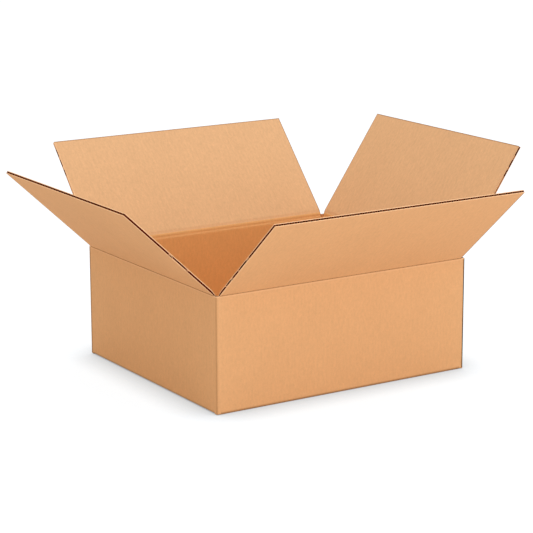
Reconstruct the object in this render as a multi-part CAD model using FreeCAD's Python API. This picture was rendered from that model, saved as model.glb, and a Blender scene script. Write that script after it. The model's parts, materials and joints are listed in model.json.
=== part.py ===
import FreeCAD, Part
import math
import os

# Corrugated carton folded from one sheet: four walls, a closed bottom and four open top flaps.
# The origin is the middle of the underside, +Z is up and the long front wall faces -Y.
# All lengths are in millimetres and all angles in degrees.

# Carton
INSIDE_LENGTH = 406.4
INSIDE_WIDTH = 355.6
CREASE_HEIGHT = 164.7
FLAP_LENGTH = 180.8
SLOT_WIDTH = 12.0
CORNER_RADIUS = 1.8

# Lean of each top flap, outward from upright
FRONT_LEAN_ANGLE = 49.0
BACK_LEAN_ANGLE = 42.3
LEFT_LEAN_ANGLE = 47.0
RIGHT_LEAN_ANGLE = 34.6

# Corrugated board: two flat liners glued to a wavy medium
BOARD = 4.0
LINER = 0.45
MEDIUM = 0.4
FLUTE_PITCH = 8.0
GLUE_LINE = 1.4
FLUTE_TIP = 1.0

# Pressed creases of the top flaps
WEB = 1.0
WEB_END = 2.4
RAMP_END = 6.4
FLUTE_START = 8.0
ROOT_GAP = 0.2
ROOT_BEVEL = 0.5
CREASE_CLEARANCE = 0.3
LIP_DROP = 0.15
SLOT_DROP = 0.3
SIDE_GAP = 0.5

# Closed top flaps: the outer pair turns about lines this far above its creases, and the
# inner pair about lines as far below its creases as lets it lie under the outer pair
OUTER_AXIS_RISE = 0.8
STACK_GAP = 0.3

# Closed bottom
LAYER_GAP = 0.3
SEAM_GAP = 0.8
FOLD_RADIUS = 2.0
FOLD_REACH = 12.0
INNER_FOLD = 1.0
POST_FOOT = 0.6
END_FOLD_HEIGHT = 1.8

# Glued joint of the sheet's two ends, inside the right wall at the back corner
TAB_WIDTH = 35.0
TAB_THICKNESS = 3.0
TAB_TAPER = 12.0
TAB_END_GAP = 3.0
SEAM_WIDTH = 0.5
SEAM_DEPTH = 1.2

LENGTH = INSIDE_LENGTH + 2 * BOARD
WIDTH = INSIDE_WIDTH + 2 * BOARD
LONG_FLAP_WIDTH = LENGTH - SLOT_WIDTH
SHORT_FLAP_WIDTH = WIDTH - SLOT_WIDTH
LAYER_HEIGHT = BOARD + LAYER_GAP

ORIGIN = FreeCAD.Vector(0, 0, 0)
X_AXIS = FreeCAD.Vector(1, 0, 0)
Z_AXIS = FreeCAD.Vector(0, 0, 1)


def half_tangent(lean):
    """Tangent of half a flap's lean, which sets how far its turning line lies from its crease."""
    return math.tan(math.radians(lean / 2))


def inner_axis_drop():
    """Depth of the inner flaps' turning lines below their creases."""
    least_outer = OUTER_AXIS_RISE * (1 + half_tangent(min(FRONT_LEAN_ANGLE, BACK_LEAN_ANGLE)))
    least_share = 1 + half_tangent(min(LEFT_LEAN_ANGLE, RIGHT_LEAN_ANGLE))
    return (BOARD + STACK_GAP - least_outer) / least_share


def turning_line(side):
    """Place of a top flap's turning line: depth inward from the wall's face, height over the crease."""
    if side["outer"]:
        return -OUTER_AXIS_RISE * half_tangent(side["lean"]), OUTER_AXIS_RISE
    drop = inner_axis_drop()
    return drop * half_tangent(side["lean"]), -drop


def wall_side(turn, reach, width, lean, outer):
    return {"turn": turn, "reach": reach, "width": width, "lean": lean, "outer": outer}


# The four sides, each drawn as the front one and then turned about the upright axis
SIDES = {
    "front": wall_side(0, WIDTH / 2, LONG_FLAP_WIDTH, FRONT_LEAN_ANGLE, True),
    "right": wall_side(90, LENGTH / 2, SHORT_FLAP_WIDTH, RIGHT_LEAN_ANGLE, False),
    "back": wall_side(180, WIDTH / 2, LONG_FLAP_WIDTH, BACK_LEAN_ANGLE, True),
    "left": wall_side(270, LENGTH / 2, SHORT_FLAP_WIDTH, LEFT_LEAN_ANGLE, False),
}


def line(start, end):
    return Part.LineSegment(FreeCAD.Vector(0, *start), FreeCAD.Vector(0, *end)).toShape()


def arc(start, middle, end):
    return Part.Arc(*[FreeCAD.Vector(0, *point) for point in (start, middle, end)]).toShape()


def bar(edges, width):
    """Solid of a given width across the X axis, from the edges of an outline in depth and height."""
    face = Part.Face(Part.Wire(edges))
    face.translate(FreeCAD.Vector(-width / 2, 0, 0))
    return face.extrude(FreeCAD.Vector(width, 0, 0))


def polygon_bar(points, width):
    ends = points[1:] + points[:1]
    return bar([line(start, end) for start, end in zip(points, ends)], width)


def box(low, high):
    size = [b - a for a, b in zip(low, high)]
    return Part.makeBox(*size, FreeCAD.Vector(*low))


def place_on_side(shape, side):
    """Moves a shape from the origin to the foot of its wall's outer face and turns it to its side."""
    shape.translate(FreeCAD.Vector(0, -side["reach"], 0))
    shape.rotate(ORIGIN, Z_AXIS, side["turn"])
    return shape


def flute_void(centre, wide_depth, tip_depth, pitch):
    """Outline of one hollow of the board's section, wide at one liner and narrow at the other."""
    wide = (pitch - GLUE_LINE) / 2
    tip = FLUTE_TIP / 2
    corners = [(-wide, wide_depth), (wide, wide_depth), (tip, tip_depth), (-tip, tip_depth)]
    return Part.makePolygon([FreeCAD.Vector(centre + s, depth, 0) for s, depth in corners + corners[:1]])


def board_outline(width, pitch):
    """Outline of the board's section, with a cut-open flute along both side edges."""
    wide = (pitch - GLUE_LINE) / 2
    tip = FLUTE_TIP / 2
    tip_depth = BOARD - LINER - MEDIUM
    edge = width / 2
    notch = [(edge, LINER), (edge - wide, LINER), (edge - tip, tip_depth), (edge, tip_depth)]
    right = [(edge, 0)] + notch + [(edge, BOARD)]
    left = [(-s, depth) for s, depth in reversed(right)]
    return Part.makePolygon([FreeCAD.Vector(s, depth, 0) for s, depth in right + left + right[:1]])


def fluted_sheet(width, length):
    """Board with open flutes that run up it from z = 0, its outer face at y = 0."""
    count = max(2, round(width / FLUTE_PITCH))
    pitch = width / count
    start = -width / 2
    outer_voids = [
        flute_void(start + i * pitch, LINER, BOARD - LINER - MEDIUM, pitch) for i in range(1, count)
    ]
    inner_voids = [
        flute_void(start + (i + 0.5) * pitch, BOARD - LINER, LINER + MEDIUM, pitch) for i in range(count)
    ]
    wires = [board_outline(width, pitch)] + outer_voids + inner_voids
    section = Part.makeFace(wires, "Part::FaceMakerBullseye")
    return section.extrude(FreeCAD.Vector(0, 0, length))


def flap_root(width):
    """Solid strip between a flap's crease and its flutes, pressed thin next to the crease."""
    outline = [
        (0, ROOT_GAP),
        (0, FLUTE_START),
        (BOARD, FLUTE_START),
        (BOARD, RAMP_END),
        (WEB, WEB_END),
        (WEB, ROOT_GAP + ROOT_BEVEL),
        (WEB - ROOT_BEVEL, ROOT_GAP),
    ]
    return polygon_bar(outline, width)


def top_flap(side):
    """One top flap, leaning out from its crease."""
    sheet = fluted_sheet(side["width"], FLAP_LENGTH - FLUTE_START)
    sheet.translate(FreeCAD.Vector(0, 0, FLUTE_START))
    flap = flap_root(side["width"]).fuse(sheet)
    flap.rotate(ORIGIN, X_AXIS, side["lean"])
    flap.translate(FreeCAD.Vector(0, 0, CREASE_HEIGHT))
    return place_on_side(flap, side)


def outer_lip(side):
    """Top edge of a long wall, bevelled inside to take the closed flap, and its depth under the crease."""
    overhang = OUTER_AXIS_RISE * (1 + half_tangent(side["lean"]))
    lip = WEB_END - overhang - CREASE_CLEARANCE
    ramp_slope = (BOARD - WEB) / (RAMP_END - WEB_END)
    ramp_depth = WEB + max(0, BOARD + overhang - WEB_END) * ramp_slope
    bevel_depth = min(ramp_depth, BOARD) - overhang + CREASE_CLEARANCE * math.hypot(1, ramp_slope)
    depth = bevel_depth + BOARD
    outline = [(0, -depth), (0, -LIP_DROP), (lip, -LIP_DROP), (BOARD, -bevel_depth), (BOARD, -depth)]
    return polygon_bar(outline, side["width"] + 2 * SIDE_GAP), depth


def inner_lip(side):
    """Top edge of a short wall, rounded about the turning line, and its depth under the crease."""
    axis_in, axis_up = turning_line(side)
    radius = math.hypot(ROOT_GAP - axis_up, axis_in) - CREASE_CLEARANCE
    sunk = axis_in - axis_up
    thickness = min(sunk + ROOT_GAP - CREASE_CLEARANCE, BOARD)
    depth = sunk + WEB + CREASE_CLEARANCE
    rise = math.sqrt(radius**2 - axis_in**2)
    drop = math.sqrt(max(0, radius**2 - (thickness - axis_in) ** 2))
    lean_in = math.radians(45)
    shoulder = (axis_in + radius * math.cos(lean_in), axis_up + radius * math.sin(lean_in))
    outside = (0, axis_up + rise)
    inside = (thickness, axis_up - drop)
    edges = [
        line((0, -depth), outside),
        arc(outside, shoulder, inside),
        line(inside, (thickness, -depth)),
        line((thickness, -depth), (0, -depth)),
    ]
    return bar(edges, side["width"] + 2 * SIDE_GAP), depth


def top_edge(walls, side):
    """Gives a wall the lip that its top flap turns about."""
    lip, depth = outer_lip(side) if side["outer"] else inner_lip(side)
    half = side["width"] / 2 + SIDE_GAP
    room = box((-half, -BOARD, -depth), (half, BOARD, BOARD))
    for shape in (lip, room):
        shape.translate(FreeCAD.Vector(0, 0, CREASE_HEIGHT))
        place_on_side(shape, side)
    return walls.cut(room).fuse(lip)


def wall_tube():
    """The four walls with rounded outer corners."""
    height = CREASE_HEIGHT - SLOT_DROP - POST_FOOT
    outside = box((-LENGTH / 2, -WIDTH / 2, POST_FOOT), (LENGTH / 2, WIDTH / 2, POST_FOOT + height))
    corners = [
        edge
        for edge in outside.Edges
        if abs(edge.Vertexes[0].Point.z - edge.Vertexes[-1].Point.z) > height / 2
    ]
    outside = outside.makeFillet(CORNER_RADIUS, corners)
    inside = box(
        (-INSIDE_LENGTH / 2, -INSIDE_WIDTH / 2, 0), (INSIDE_LENGTH / 2, INSIDE_WIDTH / 2, CREASE_HEIGHT)
    )
    return outside.cut(inside)


def bottom_long_flap(side):
    """Foot of a long wall and its bottom flap, which reaches the seam in the middle."""
    end = side["reach"] - SEAM_GAP / 2
    turn = FOLD_RADIUS * (1 - math.cos(math.radians(45)))
    edges = [
        line((0, FOLD_REACH), (0, FOLD_RADIUS)),
        arc((0, FOLD_RADIUS), (turn, turn), (FOLD_RADIUS, 0)),
        line((FOLD_RADIUS, 0), (end, 0)),
        line((end, 0), (end, BOARD)),
        line((end, BOARD), (BOARD + INNER_FOLD, BOARD)),
        line((BOARD + INNER_FOLD, BOARD), (BOARD, BOARD + INNER_FOLD)),
        line((BOARD, BOARD + INNER_FOLD), (BOARD, FOLD_REACH)),
        line((BOARD, FOLD_REACH), (0, FOLD_REACH)),
    ]
    flap = bar(edges, side["width"])
    for hand in (-1, 1):
        flap = flap.cut(edge_groove(side["width"] / 2 * hand, hand, end))
    return flap


def edge_groove(edge, hand, end):
    """Cut-open flute along a bottom flap's side edge."""
    wide = (FLUTE_PITCH - GLUE_LINE) / 2
    tip = FLUTE_TIP / 2
    tip_height = BOARD - LINER - MEDIUM
    corners = [(0, LINER), (-wide, LINER), (-tip, tip_height), (0, tip_height)]
    points = [FreeCAD.Vector(edge + hand * s, FOLD_REACH, height) for s, height in corners + corners[:1]]
    return Part.Face(Part.makePolygon(points)).extrude(FreeCAD.Vector(0, end - FOLD_REACH, 0))


def bottom_short_foot(side):
    """Foot of a short wall and the solid start of its bottom flap, which lies on the long flaps."""
    nose = BOARD / 2
    run_in = SLOT_WIDTH / 2
    outline = [
        (0, FOLD_REACH),
        (0, END_FOLD_HEIGHT + FOLD_RADIUS),
        (nose / 4, END_FOLD_HEIGHT + FOLD_RADIUS / 4),
        (nose, END_FOLD_HEIGHT),
        (run_in, LAYER_HEIGHT),
        (FOLD_REACH, LAYER_HEIGHT),
        (FOLD_REACH, LAYER_HEIGHT + BOARD),
        (BOARD + INNER_FOLD, LAYER_HEIGHT + BOARD),
        (BOARD, LAYER_HEIGHT + BOARD + INNER_FOLD),
        (BOARD, LAYER_HEIGHT + BOARD + INNER_FOLD + FOLD_REACH),
        (0, LAYER_HEIGHT + BOARD + INNER_FOLD + FOLD_REACH),
    ]
    return polygon_bar(outline, side["width"])


def bottom_short_flutes(side):
    """Fluted rest of a short bottom flap, its flutes open at the free end."""
    sheet = fluted_sheet(side["width"], FLAP_LENGTH - FOLD_REACH)
    sheet.rotate(ORIGIN, X_AXIS, -90)
    sheet = sheet.mirror(ORIGIN, Z_AXIS)
    sheet.translate(FreeCAD.Vector(0, FOLD_REACH, LAYER_HEIGHT))
    return place_on_side(sheet, side)


def bottom_edge(walls, side):
    """Gives a wall its foot and its bottom flap, or the start of one where its flutes show."""
    half = side["width"] / 2
    if side["outer"]:
        flap = bottom_long_flap(side)
        top = FOLD_REACH
    else:
        flap = bottom_short_foot(side)
        top = LAYER_HEIGHT + BOARD + INNER_FOLD + FOLD_REACH
    room = box((-half, -BOARD, -BOARD), (half, BOARD, top))
    for shape in (flap, room):
        place_on_side(shape, side)
    return walls.cut(room).fuse(flap)


def glue_tab():
    """Tab of the back wall, glued to the inner face of the right wall."""
    face = INSIDE_LENGTH / 2
    corner = INSIDE_WIDTH / 2
    low = LAYER_HEIGHT + BOARD + INNER_FOLD + TAB_END_GAP
    high = CREASE_HEIGHT - inner_lip(SIDES["right"])[1] - BOARD - TAB_END_GAP
    tip = corner - TAB_WIDTH
    outline = [(corner, low), (tip, low + TAB_TAPER), (tip, high - TAB_TAPER), (corner, high)]
    points = [FreeCAD.Vector(face - TAB_THICKNESS, y, z) for y, z in outline + outline[:1]]
    return Part.Face(Part.makePolygon(points)).extrude(FreeCAD.Vector(TAB_THICKNESS, 0, 0))


def joint_seam():
    """Fine gap beside the raw edge of the right wall, and the cut-open flute in that edge."""
    back = WIDTH / 2
    face = INSIDE_LENGTH / 2
    middle = face + BOARD / 2
    low = back - SEAM_DEPTH
    high = back + BOARD
    gap = box((face - SEAM_WIDTH, low, 0), (face, high, CREASE_HEIGHT))
    flute = box((middle - SEAM_WIDTH, low, 0), (middle + SEAM_WIDTH, high, CREASE_HEIGHT))
    return gap.fuse(flute)


def carton():
    """The walls, the closed bottom and the glued joint, as one folded sheet."""
    body = wall_tube()
    for side in SIDES.values():
        body = top_edge(body, side)
        body = bottom_edge(body, side)
    body = body.fuse(glue_tab()).cut(joint_seam()).removeSplitter()
    return body.fuse([bottom_short_flutes(side) for side in SIDES.values() if not side["outer"]])


def single_solid(shape):
    """The solid that a shape holds, without the wrapping that joining and cutting leave round it."""
    solids = shape.Solids
    if len(solids) != 1 or not shape.isValid():
        raise ValueError("a piece of the carton isn't one sound solid")
    return solids[0]


def export(name, shape):
    single_solid(shape).exportStep(os.path.join("parts", name + ".step"))


os.makedirs("parts", exist_ok=True)
export("carton", carton())
for name, side in SIDES.items():
    export(name + "_flap", top_flap(side))
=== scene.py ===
import json
import math

import bmesh
import bpy
from mathutils import Matrix, Vector


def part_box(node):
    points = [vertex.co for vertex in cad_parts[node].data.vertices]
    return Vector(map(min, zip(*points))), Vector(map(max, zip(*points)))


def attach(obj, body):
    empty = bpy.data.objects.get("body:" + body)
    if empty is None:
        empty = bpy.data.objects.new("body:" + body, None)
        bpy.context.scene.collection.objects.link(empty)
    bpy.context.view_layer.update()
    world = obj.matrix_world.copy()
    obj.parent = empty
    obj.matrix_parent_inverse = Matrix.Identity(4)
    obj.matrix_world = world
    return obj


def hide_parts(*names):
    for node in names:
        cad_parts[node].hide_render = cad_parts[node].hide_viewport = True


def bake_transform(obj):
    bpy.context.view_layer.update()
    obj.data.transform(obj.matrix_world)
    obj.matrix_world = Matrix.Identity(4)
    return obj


# An open corrugated carton, in metres: the walls and closed bottom are one folded sheet, and each
# top flap is a sheet of its own layers that bends at its pressed crease.

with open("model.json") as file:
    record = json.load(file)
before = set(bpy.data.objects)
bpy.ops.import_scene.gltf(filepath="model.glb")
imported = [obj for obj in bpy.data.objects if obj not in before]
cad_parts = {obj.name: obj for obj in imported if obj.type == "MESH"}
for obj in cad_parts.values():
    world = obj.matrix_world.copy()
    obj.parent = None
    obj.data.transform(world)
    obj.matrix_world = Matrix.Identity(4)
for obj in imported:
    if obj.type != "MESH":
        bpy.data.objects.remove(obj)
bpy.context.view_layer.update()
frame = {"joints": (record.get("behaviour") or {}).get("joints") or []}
carton_low, carton_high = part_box("carton")

# Carton
LENGTH = carton_high.x - carton_low.x
WIDTH = carton_high.y - carton_low.y
CREASE_HEIGHT = 0.1647
FLAP_LENGTH = 0.1808
LONG_FLAP_WIDTH = 2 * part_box("front_flap")[1].x
SHORT_FLAP_WIDTH = 2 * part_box("left_flap")[1].y
SLOT_FLOOR = 0.1644
POST_FOOT = 0.0006
CORNER_RADIUS = 0.0020

# Corrugated board: two liners and a wavy medium, which stands back a little from the cut edges and
# sinks a little into the liners where the board is crushed
BOARD = 0.0040
LINER = 0.00045
MEDIUM = 0.00055
MEDIUM_RECESS = 0.00015
CUT_REACH = 1.2 * MEDIUM_RECESS
OUTER_BURR = 0.0001
INNER_BURR = 0.0004
CRUSHED = 0.0030
CRUSH_SINK = MEDIUM / 6

# Wave of the medium: its spare flutes are cut off at the sides, and at least the given number of
# them lies on the left. In pitches, a flank lies midway from a crest to the next trough.
FLUTE_PITCH = 0.0080
WAVE_STEPS = 12
STEEPNESS = 2.6
SPARE_FLUTES = 5
LEFT_SPARE_FLUTES = 2
CREST_TO_TROUGH = 0.5
CREST_TO_FLANK = 0.25
FLANK_REACH = 0.1

# Inner face at a crease: where its pressed groove starts on the wall and on the flap, and half the
# width of the groove's floor
GROOVE_WALL = 0.0050
GROOVE_FLAP = 0.0060
GROOVE_FLOOR = 0.0013
GROOVE_STEPS = 4
FOLD_ROWS = (-0.0008, -0.0004, 0.0, 0.0004, 0.0008)

# Outer face at a crease, by distance from it: a low ridge on the wall, and a fine pressed line
RIDGE = 0.00016
RIDGE_START = 0.0030
RIDGE_LOW = 0.0018
RIDGE_HIGH = 0.0010
LINE_DEPTH = 0.0004
LINE_SIDE = 0.0006
LINE_FLOOR = 0.0001
LINE_END = 0.0012

# Strip of wall in a top flap's sheet
TOP_STRIP = 0.0070

# Closed bottom: the long flaps lie lowest, and the short ones rise onto them
FOOT_STRIP = 0.0120
BOTTOM_PIVOT = 0.0013
LAYER_HEIGHT = 0.0043
SEAM_GAP = 0.0008
END_RISE_ANGLE = 36.0
END_RISE_REACH = 0.0060
FREE_END_REACH = 0.0005

# Rows and columns of a sheet of board
BODY_ROWS = (0.040, 0.080, 0.120, 0.155)
COLUMNS = 16
RIM = 0.0018

# Corner posts, and the cavity in their tops by depth from the outer and from the inner face
CORNER_BAND = 0.0035
CORNER_SEGMENTS = 5
CORNER_SKIN = CORNER_RADIUS / 3
FOOT_BAND = 0.0022
FOOT_ROUND = 0.0014
FOOT_SEGMENTS = 3
CAVITY_START = 0.5 * LINER
CAVITY_END = 0.9 * LINER
SLOT_REACH = 0.0002

# Painted light and shade on the paper, by distance: above 0 towards the pale highlight colour, below 0
# towards the dark shade colour; the slots' pale cut edges and part of the outer crease line are the paper's
# own
# Creases: painted highlights on the wall's ridge and across the inner groove, painted shade in the groove,
# and a dark pressed outer line, partly the pressed paper's own darkening and partly painted shade
OUTER_CREASE_LIGHT_AND_SHADE = (
    (-RIDGE_START, 0.0), (-RIDGE_LOW, 0.40), (-RIDGE_HIGH, 0.10),
    (-LINE_SIDE, -0.5), (LINE_SIDE, -0.5), (LINE_END, 0.0)
)
INNER_CREASE_LIGHT_AND_SHADE = (
    (-0.0062, 0.0), (-0.0050, 0.0), (-0.0031, 0.05), (-0.0022, 0.10), (-0.0013, 0.05),
    (-0.0004, -0.08), (0.0004, -0.08), (0.0013, 0.0), (0.0025, 0.12), (0.0037, 0.12), (0.0050, 0.0)
)
# Painted shade at the foot of the walls, where the board turns under
FOOT_SHADE_MARKS = (
    (-RIDGE_START, 0.0), (-RIDGE_LOW, -0.2), (-RIDGE_HIGH, -0.45),
    (0.0, -0.6), (LINE_END, -0.4), (GROOVE_FLAP, 0.0)
)
# Painted shade along the rounded folded corners, by depth in from the outer face
NEAR_CORNER_SHADE = ((0.0006, -0.5), (0.0012, -0.35), (0.0020, -0.1), (0.0035, 0.0))
FAR_CORNER_SHADE = ((0.0020, -0.7), (0.0035, -0.6), (0.0060, 0.0))
RIGHT_CORNER_SHADE = ((0.0006, -0.1), (0.0020, 0.0))
SLOT_MARK = 0.9
# Painted shade at the corner posts' feet
POST_FOOT_SHADE = -0.45
# Painted highlight on the rims of the bottom flaps' edges
BOTTOM_EDGE_HIGHLIGHTS = (0.6, 0.6, 0.6)

# How the wave's crests wander up a flap: the side that they are measured from, -1 for the left one,
# and by height how many pitches a crest lies inwards from that side
FRONT_CRESTS = (-1, (
    (GROOVE_FLAP, 0.0), (0.020, 0.0), (0.027, 0.5), (0.037, 0.5), (0.045, 0.0), (0.062, 0.0),
    (0.069, 0.5), (0.089, 0.5), (0.098, 0.0),
))
RIGHT_CRESTS = (-1, (
    (GROOVE_FLAP, 0.25), (0.131, 0.25), (0.133, 0.0), (0.141, 0.0), (0.143, 0.25), (0.147, 0.25),
    (0.149, 0.0), (0.157, 0.0), (0.159, 0.25), (0.166, 0.25), (0.168, 0.0), (0.174, 0.0),
))
BACK_CRESTS = (1, (
    (GROOVE_FLAP, 0.25), (0.121, 0.25), (0.123, 0.0), (0.130, 0.0), (0.132, 0.25), (0.138, 0.25),
    (0.140, 0.0), (0.148, 0.0), (0.150, 0.25), (0.155, 0.25), (0.157, 0.0), (0.166, 0.0),
    (0.168, 0.25),
))
LEFT_CRESTS = (1, ((GROOVE_FLAP, 0.0), (0.053, 0.0), (0.061, 0.5), (0.081, 0.5), (0.093, 0.0)))
BOTTOM_CRESTS = (1, ((0.0, 0.3), (0.080, 0.0)))

# Glued joint at the back right corner
TAB_WIDTH = 0.0350
TAB_THICKNESS = 0.0030
TAB_TAPER = 0.0120
TAB_LOW = 0.0123
TAB_HIGH = 0.1530
SEAM_WIDTH = 0.0005
SEAM_DEPTH = 0.0012
RAW_EDGE_DEPTH = 0.0030
RAW_EDGE_REACH = 1.1 * RAW_EDGE_DEPTH
TAB_SEGMENTS = 2

# Where the sheets lie across the paper's pattern, in metres, so that no two look alike
TOP_SHEETS = 1.0
END_WALLS = 5.0
LONG_BOTTOM_SHEETS = 11.0
SHORT_BOTTOM_SHEETS = 21.0

# How squarely a face looks along an axis, to be told from an edge or to count as shown
FACE_ON = 0.9
SHOWN = 0.3

QUARTER = math.pi / 2
SMOOTH_ANGLE = math.radians(25)
TOLERANCE = 1e-5
HAIR = 1e-6


# Helpers for modelling

def only(obj):
    """Makes one object the only selected one, and the active one."""
    bpy.ops.object.select_all(action="DESELECT")
    obj.select_set(True)
    bpy.context.view_layer.objects.active = obj


def edit(obj):
    only(obj)
    bpy.ops.object.mode_set(mode="EDIT")
    bpy.ops.mesh.select_all(action="DESELECT")


def done():
    bpy.ops.object.mode_set(mode="OBJECT")


def pick(obj, kind, test):
    """Selects only the vertices, edges or faces that pass a test, in edit mode."""
    bpy.ops.mesh.select_all(action="DESELECT")
    bpy.ops.mesh.select_mode(type=kind)
    mesh = bmesh.from_edit_mesh(obj.data)
    elements = {"VERT": mesh.verts, "EDGE": mesh.edges, "FACE": mesh.faces}[kind]
    for element in elements:
        if test(element):
            element.select_set(True)
    if kind == "VERT":
        mesh.select_flush(True)
    bmesh.update_edit_mesh(obj.data)


def near(a, b, tolerance=TOLERANCE):
    return abs(a - b) < tolerance


def read_off(points, place):
    """Value at a place on a line of straight runs between points."""
    if place <= points[0][0]:
        return points[0][1]
    for (start, first), (end, last) in zip(points, points[1:]):
        if place <= end:
            return first + (last - first) * (place - start) / (end - start)
    return points[-1][1]


def extrude(vector):
    bpy.ops.mesh.extrude_region_move(TRANSFORM_OT_translate={"value": vector})


def cut_at(place, normal, **options):
    """Cuts the whole mesh by a plane, in edit mode."""
    bpy.ops.mesh.select_all(action="SELECT")
    bpy.ops.mesh.bisect(plane_co=place, plane_no=normal, **options)


def apply_place(obj):
    only(obj)
    bpy.ops.object.transform_apply(location=True, rotation=True, scale=True)


def apply_modifier(obj, kind, **settings):
    only(obj)
    modifier = obj.modifiers.new(kind.lower(), kind)
    for name, value in settings.items():
        setattr(modifier, name, value)
    bpy.ops.object.modifier_apply(modifier=modifier.name)


def outward_faces(obj):
    edit(obj)
    bpy.ops.mesh.select_all(action="SELECT")
    bpy.ops.mesh.normals_make_consistent(inside=False)
    done()


def join(parts, name):
    only(parts[0])
    for part in parts:
        part.select_set(True)
    bpy.ops.object.join()
    parts[0].name = name
    return parts[0]


# Materials: how dark the paper's specks are, how far the flutes show over the sheet and how high
# they stand, and how rough the paper is and how much that changes with its fibres

SPECK_DARKNESS = -0.10
FLUTE_COVER = 0.35
FLUTE_RELIEF = 0.5
PAPER_ROUGHNESS = 0.86
ROUGHNESS_CHANGE = 0.04


def add_node(tree, kind, values=(), **settings):
    """Adds a node, sets its properties and then its inputs by name or number."""
    node = tree.nodes.new(kind)
    for name, value in settings.items():
        setattr(node, name, value)
    for socket, value in dict(values).items():
        if isinstance(value, bpy.types.NodeSocket):
            tree.links.new(value, node.inputs[socket])
        else:
            node.inputs[socket].default_value = value
    return node


def math_node(tree, operation, first, second=0.0):
    return add_node(tree, "ShaderNodeMath", {0: first, 1: second}, operation=operation).outputs[0]


def linear(red, green, blue):
    """Scene colour of an 8-bit screen colour."""
    def channel(value):
        share = value / 255
        return share / 12.92 if share <= 0.04045 else ((share + 0.055) / 1.055) ** 2.4
    return (channel(red), channel(green), channel(blue), 1.0)


def noise(tree, vector, scale, detail, stretch):
    """Noise over the sheet, from -1 to 1, stretched along or across the flutes."""
    mapped = add_node(tree, "ShaderNodeMapping", {"Vector": vector, "Scale": stretch})
    texture = add_node(
        tree, "ShaderNodeTexNoise", {"Vector": mapped.outputs[0], "Scale": scale, "Detail": detail}
    )
    centred = math_node(tree, "SUBTRACT", texture.outputs["Fac"], 0.5)
    return math_node(tree, "MULTIPLY", centred, 2.0)


def paper_group():
    """Brown paper: cloudy colour, streaks, fibres, specks, and the flutes showing through, with painted
    highlights and painted shade mixed in by the mark attribute.
    """
    tree = bpy.data.node_groups.new("brown_paper", "ShaderNodeTree")
    sockets = (
        ("Colour", "NodeSocketColor"),
        ("Highlight And Edge Colour", "NodeSocketColor"),
        ("Shade And Line Colour", "NodeSocketColor"),
        ("Clouds", "NodeSocketFloat"),
        ("Fibres", "NodeSocketFloat"),
        ("Flutes", "NodeSocketFloat"),
    )
    for name, kind in sockets:
        tree.interface.new_socket(name, in_out="INPUT", socket_type=kind)
    tree.interface.new_socket("Colour", in_out="OUTPUT", socket_type="NodeSocketColor")
    tree.interface.new_socket("Roughness", in_out="OUTPUT", socket_type="NodeSocketFloat")
    tree.interface.new_socket("Height", in_out="OUTPUT", socket_type="NodeSocketFloat")
    given = tree.nodes.new("NodeGroupInput")
    result = tree.nodes.new("NodeGroupOutput")
    sheet = add_node(tree, "ShaderNodeUVMap", uv_map="sheet").outputs[0]

    clouds = noise(tree, sheet, scale=22.0, detail=3.0, stretch=(1.0, 0.6, 1.0))
    streaks = noise(tree, sheet, scale=260.0, detail=3.0, stretch=(1.0, 0.3, 1.0))
    fibres = noise(tree, sheet, scale=1100.0, detail=4.0, stretch=(0.35, 1.0, 1.0))
    mottle = noise(tree, sheet, scale=340.0, detail=2.0, stretch=(1.0, 0.7, 1.0))
    grain = noise(tree, sheet, scale=700.0, detail=2.0, stretch=(1.0, 1.0, 1.0))
    specks = add_node(
        tree, "ShaderNodeMapRange", {"Value": grain, "From Min": 0.34, "From Max": 0.50}
    ).outputs[0]
    across = add_node(tree, "ShaderNodeSeparateXYZ", {0: sheet}).outputs["X"]
    turns = math_node(tree, "MULTIPLY", across, 2 * math.pi / FLUTE_PITCH)
    even_flutes = math_node(tree, "COSINE", turns)
    strength = math_node(tree, "MAXIMUM", math_node(tree, "ADD", clouds, FLUTE_COVER), 0.0)
    flutes = math_node(tree, "MULTIPLY", even_flutes, strength)

    cloudy = math_node(tree, "MULTIPLY", clouds, given.outputs["Clouds"])
    streaky = math_node(tree, "MULTIPLY", streaks, given.outputs["Fibres"])
    fibrous = math_node(tree, "MULTIPLY", fibres, given.outputs["Fibres"])
    mottled = math_node(tree, "MULTIPLY", mottle, given.outputs["Fibres"])
    speckled = math_node(tree, "MULTIPLY", specks, SPECK_DARKNESS)
    ribbed = math_node(tree, "MULTIPLY", flutes, given.outputs["Flutes"])
    total = 1.0
    for share in (cloudy, streaky, fibrous, mottled, speckled, ribbed):
        total = math_node(tree, "ADD", share, total)
    textured = add_node(
        tree, "ShaderNodeHueSaturation", {"Value": total, "Color": given.outputs["Colour"]}
    ).outputs[0]
    # Painted light: marks above 0 pale towards the highlight colour, below 0 dark towards the shade colour
    mark = add_node(tree, "ShaderNodeAttribute", attribute_name="mark").outputs["Fac"]
    pale = math_node(tree, "MAXIMUM", mark, 0.0)
    dark = math_node(tree, "MAXIMUM", math_node(tree, "MULTIPLY", mark, -1.0), 0.0)
    with_highlights_and_edges = add_node(
        tree,
        "ShaderNodeMix",
        {"Factor": pale, 6: textured, 7: given.outputs["Highlight And Edge Colour"]},
        data_type="RGBA",
    ).outputs[2]
    with_shade_and_lines = add_node(
        tree,
        "ShaderNodeMix",
        {"Factor": dark, 6: with_highlights_and_edges, 7: given.outputs["Shade And Line Colour"]},
        data_type="RGBA",
    ).outputs[2]
    tree.links.new(with_shade_and_lines, result.inputs["Colour"])
    roughness = add_node(
        tree,
        "ShaderNodeMath",
        {0: fibres, 1: ROUGHNESS_CHANGE, 2: PAPER_ROUGHNESS},
        operation="MULTIPLY_ADD",
    ).outputs[0]
    tree.links.new(roughness, result.inputs["Roughness"])
    low_flutes = math_node(tree, "MULTIPLY", flutes, FLUTE_RELIEF)
    tree.links.new(math_node(tree, "ADD", low_flutes, streaks), result.inputs["Height"])
    return tree


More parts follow.
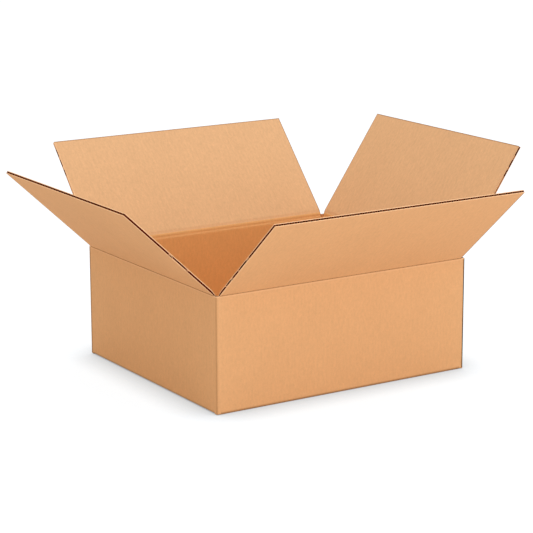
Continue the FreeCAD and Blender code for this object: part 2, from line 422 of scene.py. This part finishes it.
def paper(name, group, colour, highlight_and_edge_colour, shade_and_line_colour, clouds, fibres, flutes, relief, gloss=0.25):
    """A paper surface made from the shared group."""
    material = bpy.data.materials.new(name)
    material.use_nodes = True
    tree = material.node_tree
    shader = tree.nodes["Principled BSDF"]
    shader.inputs["Specular IOR Level"].default_value = gloss
    surface = tree.nodes.new("ShaderNodeGroup")
    surface.node_tree = group
    surface.inputs["Colour"].default_value = colour
    surface.inputs["Highlight And Edge Colour"].default_value = highlight_and_edge_colour
    surface.inputs["Shade And Line Colour"].default_value = shade_and_line_colour
    surface.inputs["Clouds"].default_value = clouds
    surface.inputs["Fibres"].default_value = fibres
    surface.inputs["Flutes"].default_value = flutes
    bump = add_node(
        tree,
        "ShaderNodeBump",
        {"Height": surface.outputs["Height"], "Distance": relief, "Strength": 1.0},
    )
    tree.links.new(surface.outputs["Colour"], shader.inputs["Base Color"])
    tree.links.new(surface.outputs["Roughness"], shader.inputs["Roughness"])
    tree.links.new(bump.outputs["Normal"], shader.inputs["Normal"])
    return material


paper_look = paper_group()
# Pale colour for painted highlights and cut edges, dark colour for painted shade and pressed lines
PALE_HIGHLIGHT_AND_EDGE = linear(255, 208, 162)
DARK_SHADE_AND_LINE = linear(142, 92, 48)
# Near-black painted shade for the hidden faces inside the board, where the flutes lie in shade
VOID_SHADE = linear(110, 26, 4)
WAVE_END_COLOUR = linear(175, 98, 48)
PLAIN = {"clouds": 0.02, "fibres": 0.06, "flutes": 0.0, "relief": 0.00003}
OUTSIDE = paper(
    "kraft_outside", paper_look, linear(233, 179, 128), PALE_HIGHLIGHT_AND_EDGE, DARK_SHADE_AND_LINE,
    clouds=0.04, fibres=0.075, flutes=0.004, relief=0.00003,
)
INSIDE = paper(
    "kraft_inside", paper_look, linear(220, 176, 132), PALE_HIGHLIGHT_AND_EDGE, DARK_SHADE_AND_LINE,
    clouds=0.04, fibres=0.100, flutes=0.016, relief=0.00004,
)
# The walls' inner face: the same inner paper, tinted a more saturated orange as painted shade
WALL_INSIDE_SHADED = paper(
    "kraft_wall_inside_shaded", paper_look, linear(228, 174, 115), PALE_HIGHLIGHT_AND_EDGE, DARK_SHADE_AND_LINE,
    clouds=0.04, fibres=0.085, flutes=0.010, relief=0.00004,
)
CUT = paper("cut_paper", paper_look, linear(242, 196, 152), PALE_HIGHLIGHT_AND_EDGE, DARK_SHADE_AND_LINE, **PLAIN)
WAVE = paper("wave_paper", paper_look, linear(236, 174, 122), PALE_HIGHLIGHT_AND_EDGE, DARK_SHADE_AND_LINE, **PLAIN)
WAVE_END = paper("wave_end", paper_look, WAVE_END_COLOUR, WAVE_END_COLOUR, DARK_SHADE_AND_LINE, **PLAIN)
HOLLOW_SHADE = paper("hollow_painted_shade", paper_look, VOID_SHADE, VOID_SHADE, VOID_SHADE, gloss=0.0, **PLAIN)
FINISHES = (OUTSIDE, INSIDE, WALL_INSIDE_SHADED, CUT, WAVE, WAVE_END, HOLLOW_SHADE)


# Sheets of corrugated board, made flat and upright: the crease lies along x at the origin, the
# outer face is at y = 0 and the flap runs up from the crease

def sheet_of_rows(rows, columns, width):
    """Upright sheet drawn up row by row, each row a depth and a height."""
    (first_depth, first_height), (next_depth, next_height) = rows[:2]
    bpy.ops.object.select_all(action="DESELECT")
    bpy.ops.mesh.primitive_grid_add(x_subdivisions=columns, y_subdivisions=1, size=1)
    obj = bpy.context.object
    obj.rotation_euler = (QUARTER, 0, 0)
    obj.scale = (width, next_height - first_height, 1)
    obj.location = (0, first_depth, (first_height + next_height) / 2)
    apply_place(obj)
    edit(obj)
    pick(obj, "VERT", lambda vert: near(vert.co.z, next_height))
    bpy.ops.transform.translate(value=(0, next_depth - first_depth, 0))
    depth, height = next_depth, next_height
    for new_depth, new_height in rows[2:]:
        extrude((0, new_depth - depth, new_height - height))
        depth, height = new_depth, new_height
    face_front(obj)
    done()
    return obj


def face_front(obj):
    """Turns every face of an open sheet to the front, in edit mode."""
    pick(obj, "FACE", lambda face: face.normal.y > 0)
    bpy.ops.mesh.flip_normals()


def outer_rows(strip, length, course):
    """Outer face of the board from the wall over the crease line to the free edge."""
    wall = [(0, -strip), (0, -RIDGE_START)]
    ridge = [(-RIDGE, -RIDGE_LOW), (-RIDGE, -RIDGE_HIGH)]
    line = [(0, -LINE_SIDE), (LINE_DEPTH, -LINE_FLOOR), (LINE_DEPTH, LINE_FLOOR), (0, LINE_SIDE)]
    flap = [(0, LINE_END), (0, GROOVE_FLAP)]
    return wall + ridge + line + flap + body_rows(0, length, course)


def body_rows(depth, length, course):
    """Rows of a flap's flat body, the last of them the rim."""
    turns = [height for height, share in course[1][1:]]
    rows = sorted(height for height in set(BODY_ROWS) | set(turns) if height < length - 2 * RIM)
    return [(depth, height) for height in rows + [length - RIM, length]]


def inner_rows(strip, length, course):
    """Inner face of the board, pressed down to the outer layer at the crease."""
    wall = [(BOARD, -strip)] + groove_side(-GROOVE_WALL)[::-1]
    fold = [(CRUSHED, height) for height in FOLD_ROWS]
    flap = groove_side(GROOVE_FLAP) + [(BOARD, GROOVE_FLAP + GROOVE_FLOOR)]
    return wall + fold + flap + body_rows(BOARD, length, course)


def groove_side(edge):
    """Rounded side of the inner groove, from its floor to its edge at a height."""
    rows = []
    for step in range(GROOVE_STEPS + 1):
        share = step / GROOVE_STEPS
        rise = (1 - math.cos(math.pi * share)) / 2
        floor = math.copysign(GROOVE_FLOOR, edge)
        rows.append((CRUSHED + (BOARD - CRUSHED) * rise, floor + (edge - floor) * share))
    return rows


def liner(rows, width, towards):
    """One flat layer of the board; towards is 1 where its thickness lies behind its front face."""
    length = rows[-1][1]
    obj = sheet_of_rows(rows, COLUMNS, width)
    edit(obj)
    for hand in (-1, 1):
        cut_at((hand * (width / 2 - RIM), 0, 0), (1, 0, 0))
    done()
    apply_modifier(obj, "SOLIDIFY", thickness=LINER, offset=-towards, use_even_offset=True)
    outward_faces(obj)
    hidden = LINER if towards > 0 else BOARD - LINER
    edit(obj)
    pick(
        obj,
        "VERT",
        lambda vert: near(vert.co.y, hidden)
        and vert.co.z > GROOVE_FLAP + RIM
        and (near(abs(vert.co.x), width / 2) or near(vert.co.z, length)),
    )
    burr = OUTER_BURR if towards > 0 else INNER_BURR
    bpy.ops.transform.translate(value=(0, towards * burr, 0))
    done()
    return obj


def medium(strip, length, width, course):
    """The wavy layer, crushed at the crease. Its course says how its crests wander."""
    high_wave = (BOARD - 2 * LINER - MEDIUM) / 2
    low_wave = (CRUSHED - 2 * LINER - MEDIUM) / 2 + CRUSH_SINK
    middle = BOARD / 2
    crushed_middle = CRUSHED / 2
    hand, turns = course
    share = turns[0][1]
    obj = sheet_of_rows([(middle, -strip), (middle, -GROOVE_WALL)], WAVE_STEPS, FLUTE_PITCH)
    edit(obj)
    for step in range(WAVE_STEPS + 1):
        place = (step / WAVE_STEPS - 0.5) * FLUTE_PITCH
        wave = math.cos(2 * math.pi * step / WAVE_STEPS)
        crest = math.tanh(STEEPNESS * wave) / math.tanh(STEEPNESS)
        pick(obj, "VERT", lambda vert: near(vert.co.x, place, FLUTE_PITCH / WAVE_STEPS / 4))
        bpy.ops.transform.translate(value=(0, high_wave * crest, 0))
    done()
    count = math.ceil(width / FLUTE_PITCH) + SPARE_FLUTES
    apply_modifier(obj, "ARRAY", count=count, use_merge_vertices=True, merge_threshold=TOLERANCE)
    crest_place = hand * (width / 2 - share * FLUTE_PITCH)
    flutes_before = math.ceil((crest_place + width / 2) / FLUTE_PITCH + LEFT_SPARE_FLUTES)
    first_crest = crest_place - FLUTE_PITCH * flutes_before
    obj.location.x = first_crest + FLUTE_PITCH / 2
    apply_place(obj)
    edit(obj)
    pick(obj, "VERT", lambda vert: near(vert.co.z, -GROOVE_WALL))
    squeeze = low_wave / high_wave
    last = -GROOVE_WALL
    for height in (-GROOVE_FLOOR,) + FOLD_ROWS + (GROOVE_FLOOR,):
        extrude((0, 0, height - last))
        if last == -GROOVE_WALL:
            bpy.ops.transform.resize(value=(1, squeeze, 1), center_override=(0, middle, height))
            bpy.ops.transform.translate(value=(0, crushed_middle - middle, 0))
        last = height
    extrude((0, middle - crushed_middle, GROOVE_FLAP - last))
    bpy.ops.transform.resize(value=(1, 1 / squeeze, 1), center_override=(0, middle, GROOVE_FLAP))
    last = GROOVE_FLAP
    end = length - MEDIUM_RECESS
    for height, new_share in turns[1:] + ((end, turns[-1][1]),):
        extrude((hand * (share - new_share) * FLUTE_PITCH, 0, height - last))
        last, share = height, new_share
    for side in (-1, 1):
        options = {"clear_outer": side > 0, "clear_inner": side < 0}
        cut_at((side * (width / 2 - MEDIUM_RECESS), 0, 0), (1, 0, 0), **options)
    face_front(obj)
    done()
    apply_modifier(obj, "SOLIDIFY", thickness=MEDIUM, offset=0.0, use_even_offset=True)
    outward_faces(obj)
    return obj


def is_closed(course, place):
    """True where the wave stands in the cut side of the board and closes it."""
    hand, turns = course
    share = read_off(turns, place.z)
    return hand * place.x > 0 and abs(share % CREST_TO_TROUGH - CREST_TO_FLANK) < FLANK_REACH


def dress(obj, layer, width, length, course, inside):
    """Gives the parts of a flat layer their finishes: its face, its cut edges and its hidden side, whose
    faces inside the board are painted near-black as the shade in the flutes.
    """
    for material in FINISHES:
        obj.data.materials.append(material)
    for face in obj.data.polygons:
        side = width / 2 - abs(face.center.x)
        end = length - face.center.z
        facing = {"outer": -face.normal.y, "inner": face.normal.y, "wave": 0.0}[layer]
        shown = facing > SHOWN
        if end < CUT_REACH:
            material = WAVE_END if layer == "wave" else CUT
        elif side < CUT_REACH:
            material = CUT
        elif shown and layer == "outer":
            material = OUTSIDE
        elif shown:
            # The wall's strip below the groove takes the inner colour tinted as painted shade
            material = inside if face.center.z > GROOVE_FLOOR else WALL_INSIDE_SHADED
        elif side < FLUTE_PITCH / 2 and is_closed(course, face.center):
            material = WAVE
        # Other hidden faces inside the board: near-black painted shade in the flutes
        else:
            material = HOLLOW_SHADE
        face.material_index = FINISHES.index(material)


def map_sheet(obj, shift):
    """Lays out the sheet flat, across and along its flutes, in metres."""
    layer = obj.data.uv_layers.new(name="sheet")
    for loop in obj.data.loops:
        place = obj.data.vertices[loop.vertex_index].co
        layer.data[loop.index].uv = (place.x + shift, place.z)
    for other in [layer for layer in obj.data.uv_layers if layer.name != "sheet"]:
        obj.data.uv_layers.remove(other)


def mark_sheet(obj, width, length, outer_edge_light_and_shade, inner_edge_light_and_shade, outer_crease):
    """Paints highlights and shade at the crease and at the edges, each side of the board by itself: its
    edges are given as the free edge, the left and the right one, pale for a painted highlight and dark for
    painted shade."""
    marks = obj.data.attributes.new("mark", "FLOAT", "POINT")
    for vert in obj.data.vertices:
        outer = vert.co.y < BOARD / 2
        edges = outer_edge_light_and_shade if outer else inner_edge_light_and_shade
        gaps = (length - vert.co.z, vert.co.x + width / 2, width / 2 - vert.co.x)
        gap, strength = min(zip(gaps, edges))
        crease = read_off(outer_crease if outer else INNER_CREASE_LIGHT_AND_SHADE, vert.co.z)
        on_flap = vert.co.z > LINE_END and gap < RIM
        marks.data[vert.index].value = strength * (1 - gap / RIM) ** 0.5 if on_flap else crease


def blank(name, strip, length, width, course, shift, outer_edge_light_and_shade, inner_edge_light_and_shade, inside, outer_crease):
    """A flat flap with the strip of wall below its crease."""
    layers = (
        ("outer", liner(outer_rows(strip, length, course), width, 1)),
        ("inner", liner(inner_rows(strip, length, course), width, -1)),
        ("wave", medium(strip, length, width, course)),
    )
    for layer, sheet in layers:
        dress(sheet, layer, width, length, course, inside)
    obj = join([sheet for layer, sheet in layers], name)
    map_sheet(obj, shift)
    mark_sheet(obj, width, length, outer_edge_light_and_shade, inner_edge_light_and_shade, outer_crease)
    return obj


def fold(obj, angle, depth, rows=FOLD_ROWS):
    """Folds the flat sheet at its crease, a share of the angle at each row."""
    heights = [vert.co.z for vert in obj.data.vertices]
    edit(obj)
    for row in reversed(rows):
        pick(obj, "VERT", lambda vert: heights[vert.index] > row + HAIR)
        bpy.ops.transform.rotate(
            value=-math.radians(angle) / len(rows),
            orient_axis="X",
            center_override=(0, depth, row),
        )
    done()


def place_on_side(obj, turn, reach, height):
    """Moves a sheet from the origin to its crease and turns it to its side of the carton."""
    obj.matrix_world = Matrix.Rotation(math.radians(turn), 4, "Z") @ Matrix.Translation((0, -reach, height))
    apply_place(obj)


# Top flaps

def lean_of(name):
    """A top flap's lean, from how far its joint turns to close it."""
    joint = next(joint for joint in frame["joints"] if joint["child"] == name)
    return -joint["range_deg"][0] - 90


def top_flap(name, turn, reach, width, course, outer_edge_light_and_shade, inner_edge_light_and_shade):
    lean = lean_of(name)
    obj = blank(
        name + "_board",
        TOP_STRIP,
        FLAP_LENGTH,
        width,
        course,
        TOP_SHEETS + turn / 90,
        outer_edge_light_and_shade,
        inner_edge_light_and_shade,
        INSIDE,
        OUTER_CREASE_LIGHT_AND_SHADE,
    )
    fold(obj, lean, 0)
    place_on_side(obj, turn, reach, CREASE_HEIGHT)
    only(obj)
    bpy.ops.object.shade_smooth_by_angle(angle=SMOOTH_ANGLE)
    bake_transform(obj)
    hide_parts(name)


# Carton: the walls, the closed bottom and the glued joint

def is_up(face, height):
    return face.normal.z > FACE_ON and near(face.calc_center_median().z, height)


def at_corner(face):
    place = face.calc_center_median()
    return abs(place.x) > LONG_FLAP_WIDTH / 2 and abs(place.y) > SHORT_FLAP_WIDTH / 2


def wall_tube():
    """The walls between their creases, with a post up to the slots and down to the foot at each corner."""
    low, high = FOOT_STRIP, CREASE_HEIGHT - TOP_STRIP
    bpy.ops.object.select_all(action="DESELECT")
    bpy.ops.mesh.primitive_cube_add(size=1, location=(0, 0, (low + high) / 2))
    obj = bpy.context.object
    obj.scale = (LENGTH, WIDTH, high - low)
    apply_place(obj)
    edit(obj)
    pick(obj, "FACE", lambda face: abs(face.normal.z) > FACE_ON)
    bpy.ops.mesh.delete(type="ONLY_FACE")
    for hand in (-1, 1):
        for place in (LONG_FLAP_WIDTH / 2, LENGTH / 2 - CORNER_BAND):
            cut_at((hand * place, 0, 0), (1, 0, 0))
        for place in (SHORT_FLAP_WIDTH / 2, WIDTH / 2 - CORNER_BAND):
            cut_at((0, hand * place, 0), (0, 1, 0))
    done()
    apply_modifier(obj, "SOLIDIFY", thickness=BOARD, offset=-1.0, use_even_offset=True)
    edit(obj)
    pick(obj, "FACE", lambda face: is_up(face, high) and at_corner(face))
    extrude((0, 0, SLOT_FLOOR - high))
    bpy.ops.mesh.inset(thickness=LINER, use_boundary=True, use_even_offset=True)
    extrude((0, 0, high - SLOT_FLOOR))
    pick(
        obj,
        "FACE",
        lambda face: face.normal.z < -FACE_ON and near(face.calc_center_median().z, low) and at_corner(face),
    )
    extrude((0, 0, POST_FOOT - low))
    cut_at((0, 0, SLOT_FLOOR - RIM), (0, 0, 1))
    cut_at((0, 0, POST_FOOT + FOOT_BAND), (0, 0, 1))
    raw_edge(obj)
    for depth in (0.0, LINER):
        pick(obj, "EDGE", lambda edge: is_folded_corner(edge, depth))
        bpy.ops.mesh.bevel(offset=CORNER_RADIUS - depth, segments=CORNER_SEGMENTS, affect="EDGES")
    pick(obj, "EDGE", is_foot_edge)
    bpy.ops.mesh.bevel(offset=FOOT_ROUND, segments=FOOT_SEGMENTS, affect="EDGES")
    done()
    outward_faces(obj)
    return obj


def is_folded_corner(edge, depth):
    """True for the upright edges at a depth in the three folded corners."""
    ends = [vert.co for vert in edge.verts]
    upright = near(ends[0].x, ends[1].x) and near(ends[0].y, ends[1].y)
    half_length, half_width = LENGTH / 2 - depth, WIDTH / 2 - depth
    at_depth = all(near(abs(end.x), half_length) and near(abs(end.y), half_width) for end in ends)
    return upright and at_depth and not (ends[0].x > 0 and ends[0].y > 0)


def depth_in_wall(place):
    """Depth of a place below the outer face of the walls, which are rounded at the corners."""
    depths = Vector((LENGTH / 2 - abs(place.x), WIDTH / 2 - abs(place.y)))
    if max(depths) < CORNER_RADIUS and not (place.x > 0 and place.y > 0):
        return CORNER_RADIUS - (Vector((CORNER_RADIUS, CORNER_RADIUS)) - depths).length
    return min(depths)


def is_foot_edge(edge):
    """True for the outer edges of the posts' feet."""
    return all(near(vert.co.z, POST_FOOT) and near(depth_in_wall(vert.co), 0) for vert in edge.verts)


def raw_edge(obj):
    """The glued corner seen from behind: a fine gap and the cut edge of the right wall."""
    inner_face = LENGTH / 2 - BOARD
    gap = (inner_face - SEAM_WIDTH, inner_face)
    hollow = (inner_face + LINER, LENGTH / 2 - LINER)
    for place in gap + hollow:
        cut_at((place, 0, 0), (1, 0, 0))
    for (start, end), depth in ((gap, SEAM_DEPTH), (hollow, RAW_EDGE_DEPTH)):
        pick(
            obj,
            "FACE",
            lambda face: face.normal.y > FACE_ON
            and near(face.calc_center_median().y, WIDTH / 2)
            and start < face.calc_center_median().x < end,
        )
        extrude((0, -depth, 0))


def dress_walls(obj):
    """Finishes the walls by where each face lies, with near-black painted shade in their hollows and
    the inner colour tinted as painted shade inside.
    """
    for material in FINISHES:
        obj.data.materials.append(material)
    half_length = LENGTH / 2 - BOARD / 2
    half_width = WIDTH / 2 - BOARD / 2
    for face in obj.data.polygons:
        place = face.center
        under_back_face = WIDTH / 2 - RAW_EDGE_REACH < place.y < WIDTH / 2 - TOLERANCE
        if face.normal.z > FACE_ON and near(place.z, SLOT_FLOOR, SLOT_REACH):
            index = FINISHES.index(CUT)
        # Painted shade: near-black in the cavity at the posts' tops and in the seam and raw edge at the back
        elif place.z > CREASE_HEIGHT - TOP_STRIP and in_hollow(face):
            index = FINISHES.index(HOLLOW_SHADE)
        elif under_back_face and place.x > half_length - BOARD:
            index = FINISHES.index(HOLLOW_SHADE)
        # The walls' inner faces take the inner colour tinted as painted shade
        elif abs(place.x) < half_length and abs(place.y) < half_width:
            index = FINISHES.index(WALL_INSIDE_SHADED)
        else:
            index = FINISHES.index(OUTSIDE)
        face.material_index = index
    layer = obj.data.uv_layers.new(name="sheet")
    for face in obj.data.polygons:
        along_x = abs(face.normal.y) > abs(face.normal.x)
        for index in face.loop_indices:
            place = obj.data.vertices[obj.data.loops[index].vertex_index].co
            layer.data[index].uv = (place.x if along_x else place.y + END_WALLS, place.z)
    for other in [layer for layer in obj.data.uv_layers if layer.name != "sheet"]:
        obj.data.uv_layers.remove(other)
    mark_walls(obj)


def mark_walls(obj):
    """Paints shade dark along the folded corners and the foot, and marks the slots' cut edges pale."""
    marks = obj.data.attributes.new("mark", "FLOAT", "POINT")
    for vert in obj.data.vertices:
        depths = (LENGTH / 2 - abs(vert.co.x), WIDTH / 2 - abs(vert.co.y))
        at_seam = vert.co.x > 0 and vert.co.y > 0
        outer = min(depths) < CORNER_SKIN
        left_marks = FAR_CORNER_SHADE if vert.co.y > 0 else NEAR_CORNER_SHADE
        corner = left_marks if vert.co.x < 0 else RIGHT_CORNER_SHADE
        mark = read_off(corner, max(depths)) if outer and not at_seam else 0.0
        if near(vert.co.z, SLOT_FLOOR):
            mark = SLOT_MARK
        elif vert.co.z < POST_FOOT + FOOT_ROUND:
            mark = POST_FOOT_SHADE
        marks.data[vert.index].value = mark


def in_hollow(face):
    """True inside the cavity between the layers at a corner post's top."""
    return CAVITY_START < depth_in_wall(face.center) < BOARD - CAVITY_END


def bottom_blank(name, length, width, shift):
    """A flat bottom flap with the foot of its wall."""
    return blank(
        name,
        FOOT_STRIP,
        length,
        width,
        BOTTOM_CRESTS,
        shift,
        BOTTOM_EDGE_HIGHLIGHTS,
        BOTTOM_EDGE_HIGHLIGHTS,
        # The inner colour tinted as painted shade, as on the walls
        WALL_INSIDE_SHADED,
        FOOT_SHADE_MARKS,
    )


def bottom_long_flap(name, turn):
    """Long bottom flap, folded in under the carton, with the foot of its wall."""
    reach = WIDTH / 2
    length = reach - SEAM_GAP / 2 - BOTTOM_PIVOT
    obj = bottom_blank(name, length, LONG_FLAP_WIDTH, LONG_BOTTOM_SHEETS + turn / 90)
    fold(obj, -90, BOTTOM_PIVOT)
    stand_on(obj, 0.0, turn, reach)
    return obj


def bottom_short_flap(name, turn):
    """Short bottom flap: it rises onto the long ones, and its free edge stays short of the middle."""
    obj = bottom_blank(name, FLAP_LENGTH, SHORT_FLAP_WIDTH, SHORT_BOTTOM_SHEETS + turn / 90)
    fold(obj, END_RISE_ANGLE, 0, rows=(END_RISE_REACH,))
    fold(obj, -90 - END_RISE_ANGLE, BOTTOM_PIVOT)
    stand_on(obj, LAYER_HEIGHT, turn, LENGTH / 2)
    return obj


def stand_on(obj, height, turn, reach):
    """Turns a folded bottom flap over, sets its underside at a height and cuts its wall strip level."""
    obj.rotation_euler = (0, math.pi, 0)
    apply_place(obj)
    far = max(obj.data.vertices, key=lambda vert: vert.co.y)
    end = [vert.co.z for vert in obj.data.vertices if vert.co.y > far.co.y - FREE_END_REACH]
    place_on_side(obj, turn, reach, height - min(end))
    edit(obj)
    cut_at((0, 0, FOOT_STRIP), (0, 0, 1), clear_outer=True, use_fill=True)
    done()


def glue_tab():
    """The tapered tab of the back wall, glued inside the right wall."""
    face = LENGTH / 2 - BOARD
    corner = WIDTH / 2 - BOARD
    bpy.ops.object.select_all(action="DESELECT")
    bpy.ops.mesh.primitive_cube_add(size=1)
    obj = bpy.context.object
    obj.scale = (TAB_THICKNESS, TAB_WIDTH, TAB_HIGH - TAB_LOW)
    obj.location = (face - TAB_THICKNESS / 2, corner - TAB_WIDTH / 2, (TAB_HIGH + TAB_LOW) / 2)
    apply_place(obj)
    edit(obj)
    for height, slope in ((TAB_HIGH, -TAB_TAPER), (TAB_LOW, TAB_TAPER)):
        pick(obj, "VERT", lambda vert: vert.co.y < corner - TAB_WIDTH / 2 and near(vert.co.z, height))
        bpy.ops.transform.translate(value=(0, 0, slope))
    pick(obj, "EDGE", lambda edge: all(vert.co.x < face - TAB_THICKNESS / 2 for vert in edge.verts))
    bpy.ops.mesh.bevel(offset=LINER, segments=TAB_SEGMENTS, affect="EDGES")
    done()
    dress_walls(obj)
    return obj


def carton():
    walls = wall_tube()
    dress_walls(walls)
    parts = [
        walls,
        bottom_long_flap("bottom_front", 0),
        bottom_short_flap("bottom_right", 90),
        bottom_long_flap("bottom_back", 180),
        bottom_short_flap("bottom_left", 270),
        glue_tab(),
    ]
    obj = join(parts, "carton_board")
    bpy.ops.object.shade_smooth_by_angle(angle=SMOOTH_ANGLE)
    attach(obj, "carton")
    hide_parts("carton")


carton()
# Edge values: pale paints a highlight on a flap's rim, dark paints shade where its cut flutes lie
top_flap(
    "front_flap",
    0,
    WIDTH / 2,
    LONG_FLAP_WIDTH,
    FRONT_CRESTS,
    outer_edge_light_and_shade=(1.0, 1.0, -0.9),
    inner_edge_light_and_shade=(1.0, 1.0, 1.0),
)
top_flap(
    "right_flap",
    90,
    LENGTH / 2,
    SHORT_FLAP_WIDTH,
    RIGHT_CRESTS,
    outer_edge_light_and_shade=(0.7, 0.7, 0.7),
    inner_edge_light_and_shade=(-1.0, -0.2, -0.9),
)
top_flap(
    "back_flap",
    180,
    WIDTH / 2,
    LONG_FLAP_WIDTH,
    BACK_CRESTS,
    outer_edge_light_and_shade=(0.7, 0.7, 0.7),
    inner_edge_light_and_shade=(-1.0, -0.9, 0.6),
)
top_flap(
    "left_flap",
    270,
    LENGTH / 2,
    SHORT_FLAP_WIDTH,
    LEFT_CRESTS,
    outer_edge_light_and_shade=(1.0, -0.9, 0.8),
    inner_edge_light_and_shade=(1.0, 1.0, 1.0),
)


# Studio

CAMERA_PLACE = (-1.5180, -2.3827, 0.8193)
CAMERA_AZIMUTH = -32.2767
CAMERA_ELEVATION = 13.4764
CAMERA_ROLL = -0.1908
LENS = 135.05
FLOOR_SIZE = 30.0
FLOOR_COLOUR = (0.8, 0.8, 0.8, 1)
# The camera's floor colour is bluish to cancel warm light bounced from the carton in its shadow
SEEN_FLOOR_COLOUR = (0.17, 0.22, 0.28, 1)
FLOOR_GLOW = 0.87
CONTACT_SHADOW = 0.60
CONTACT_REACH = 0.055
WORLD_STRENGTH = 0.743
WORLD_COLOUR = (1.0, 0.95, 0.85, 1.0)
SOFTBOX_SIZE = 1.6
SOFTBOX_COLOUR = (0.95, 0.95, 1.0)
SOFTBOX_AIM = (0, 0, 0.1)
FRONT_PLACE = (0.0, -3.0, 0.9)
FRONT_POWER = 20.5
TOP_PLACE = (0.0, 0.0, 3.2)
TOP_POWER = 37.5


def photo_camera():
    azimuth = math.radians(CAMERA_AZIMUTH)
    elevation = math.radians(CAMERA_ELEVATION)
    roll = math.radians(CAMERA_ROLL)
    back = Vector((
        math.sin(azimuth) * math.cos(elevation),
        -math.cos(azimuth) * math.cos(elevation),
        math.sin(elevation),
    ))
    right = (-back).cross(Vector((0, 0, 1))).normalized()
    up = right.cross(-back)
    turned_right = math.cos(roll) * right + math.sin(roll) * up
    turned_up = math.cos(roll) * up - math.sin(roll) * right
    data = bpy.data.cameras.new("photo_camera")
    data.lens = LENS
    data.sensor_width = 36.0
    data.clip_end = 100.0
    camera = bpy.data.objects.new("photo_camera", data)
    bpy.context.scene.collection.objects.link(camera)
    turn = Matrix((turned_right, turned_up, back)).transposed().to_4x4()
    camera.matrix_world = Matrix.Translation(CAMERA_PLACE) @ turn
    bpy.context.scene.camera = camera


def white_floor():
    """A white floor, which the camera sees as plain white with a soft grey shadow at the carton: partly
    real, and partly painted into its glow near the carton.
    """
    bpy.ops.object.select_all(action="DESELECT")
    bpy.ops.mesh.primitive_plane_add(size=FLOOR_SIZE)
    floor = bpy.context.object
    floor.name = "floor"
    material = bpy.data.materials.new("white_floor")
    material.use_nodes = True
    tree = material.node_tree
    shader = tree.nodes["Principled BSDF"]
    shader.inputs["Roughness"].default_value = 0.9
    shader.inputs["Specular IOR Level"].default_value = 0.1
    shader.inputs["Emission Color"].default_value = (1, 1, 1, 1)
    path = tree.nodes.new("ShaderNodeLightPath")
    seen = path.outputs["Is Camera Ray"]
    colour = add_node(
        tree,
        "ShaderNodeMix",
        {"Factor": seen, 6: FLOOR_COLOUR, 7: SEEN_FLOOR_COLOUR},
        data_type="RGBA",
    ).outputs[2]
    tree.links.new(colour, shader.inputs["Base Color"])
    # Painted shadow: the glow that the camera sees is dimmed where the carton stands close by
    near_carton = add_node(tree, "ShaderNodeAmbientOcclusion", {"Distance": CONTACT_REACH}, samples=8)
    open_share = math_node(tree, "MULTIPLY", near_carton.outputs["AO"], CONTACT_SHADOW)
    glow = math_node(tree, "ADD", open_share, FLOOR_GLOW - CONTACT_SHADOW)
    tree.links.new(math_node(tree, "MULTIPLY", seen, glow), shader.inputs["Emission Strength"])
    floor.data.materials.append(material)


def area_light(name, place, size, power, colour):
    data = bpy.data.lights.new(name, "AREA")
    data.shape = "SQUARE"
    data.size = size
    data.energy = power
    data.color = colour
    light = bpy.data.objects.new(name, data)
    bpy.context.scene.collection.objects.link(light)
    light.location = place
    towards = Vector(SOFTBOX_AIM) - Vector(place)
    light.rotation_euler = towards.to_track_quat("-Z", "Y").to_euler()


def soft_world(strength, colour):
    """Even soft light from all around, seen as plain white."""
    world = bpy.data.worlds.new("studio")
    bpy.context.scene.world = world
    world.use_nodes = True
    tree = world.node_tree
    ground = tree.nodes["Background"]
    ground.inputs["Color"].default_value = colour
    ground.inputs["Strength"].default_value = strength
    white = add_node(tree, "ShaderNodeBackground", {"Color": (1, 1, 1, 1), "Strength": 1.0})
    path = tree.nodes.new("ShaderNodeLightPath")
    mix = add_node(
        tree,
        "ShaderNodeMixShader",
        {0: path.outputs["Is Camera Ray"], 1: ground.outputs[0], 2: white.outputs[0]},
    )
    tree.links.new(mix.outputs[0], tree.nodes["World Output"].inputs["Surface"])


photo_camera()
white_floor()
soft_world(WORLD_STRENGTH, WORLD_COLOUR)
area_light("front_softbox", FRONT_PLACE, SOFTBOX_SIZE, FRONT_POWER, SOFTBOX_COLOUR)
area_light("top_softbox", TOP_PLACE, SOFTBOX_SIZE, TOP_POWER, SOFTBOX_COLOUR)
bpy.context.scene.view_settings.view_transform = "Standard"
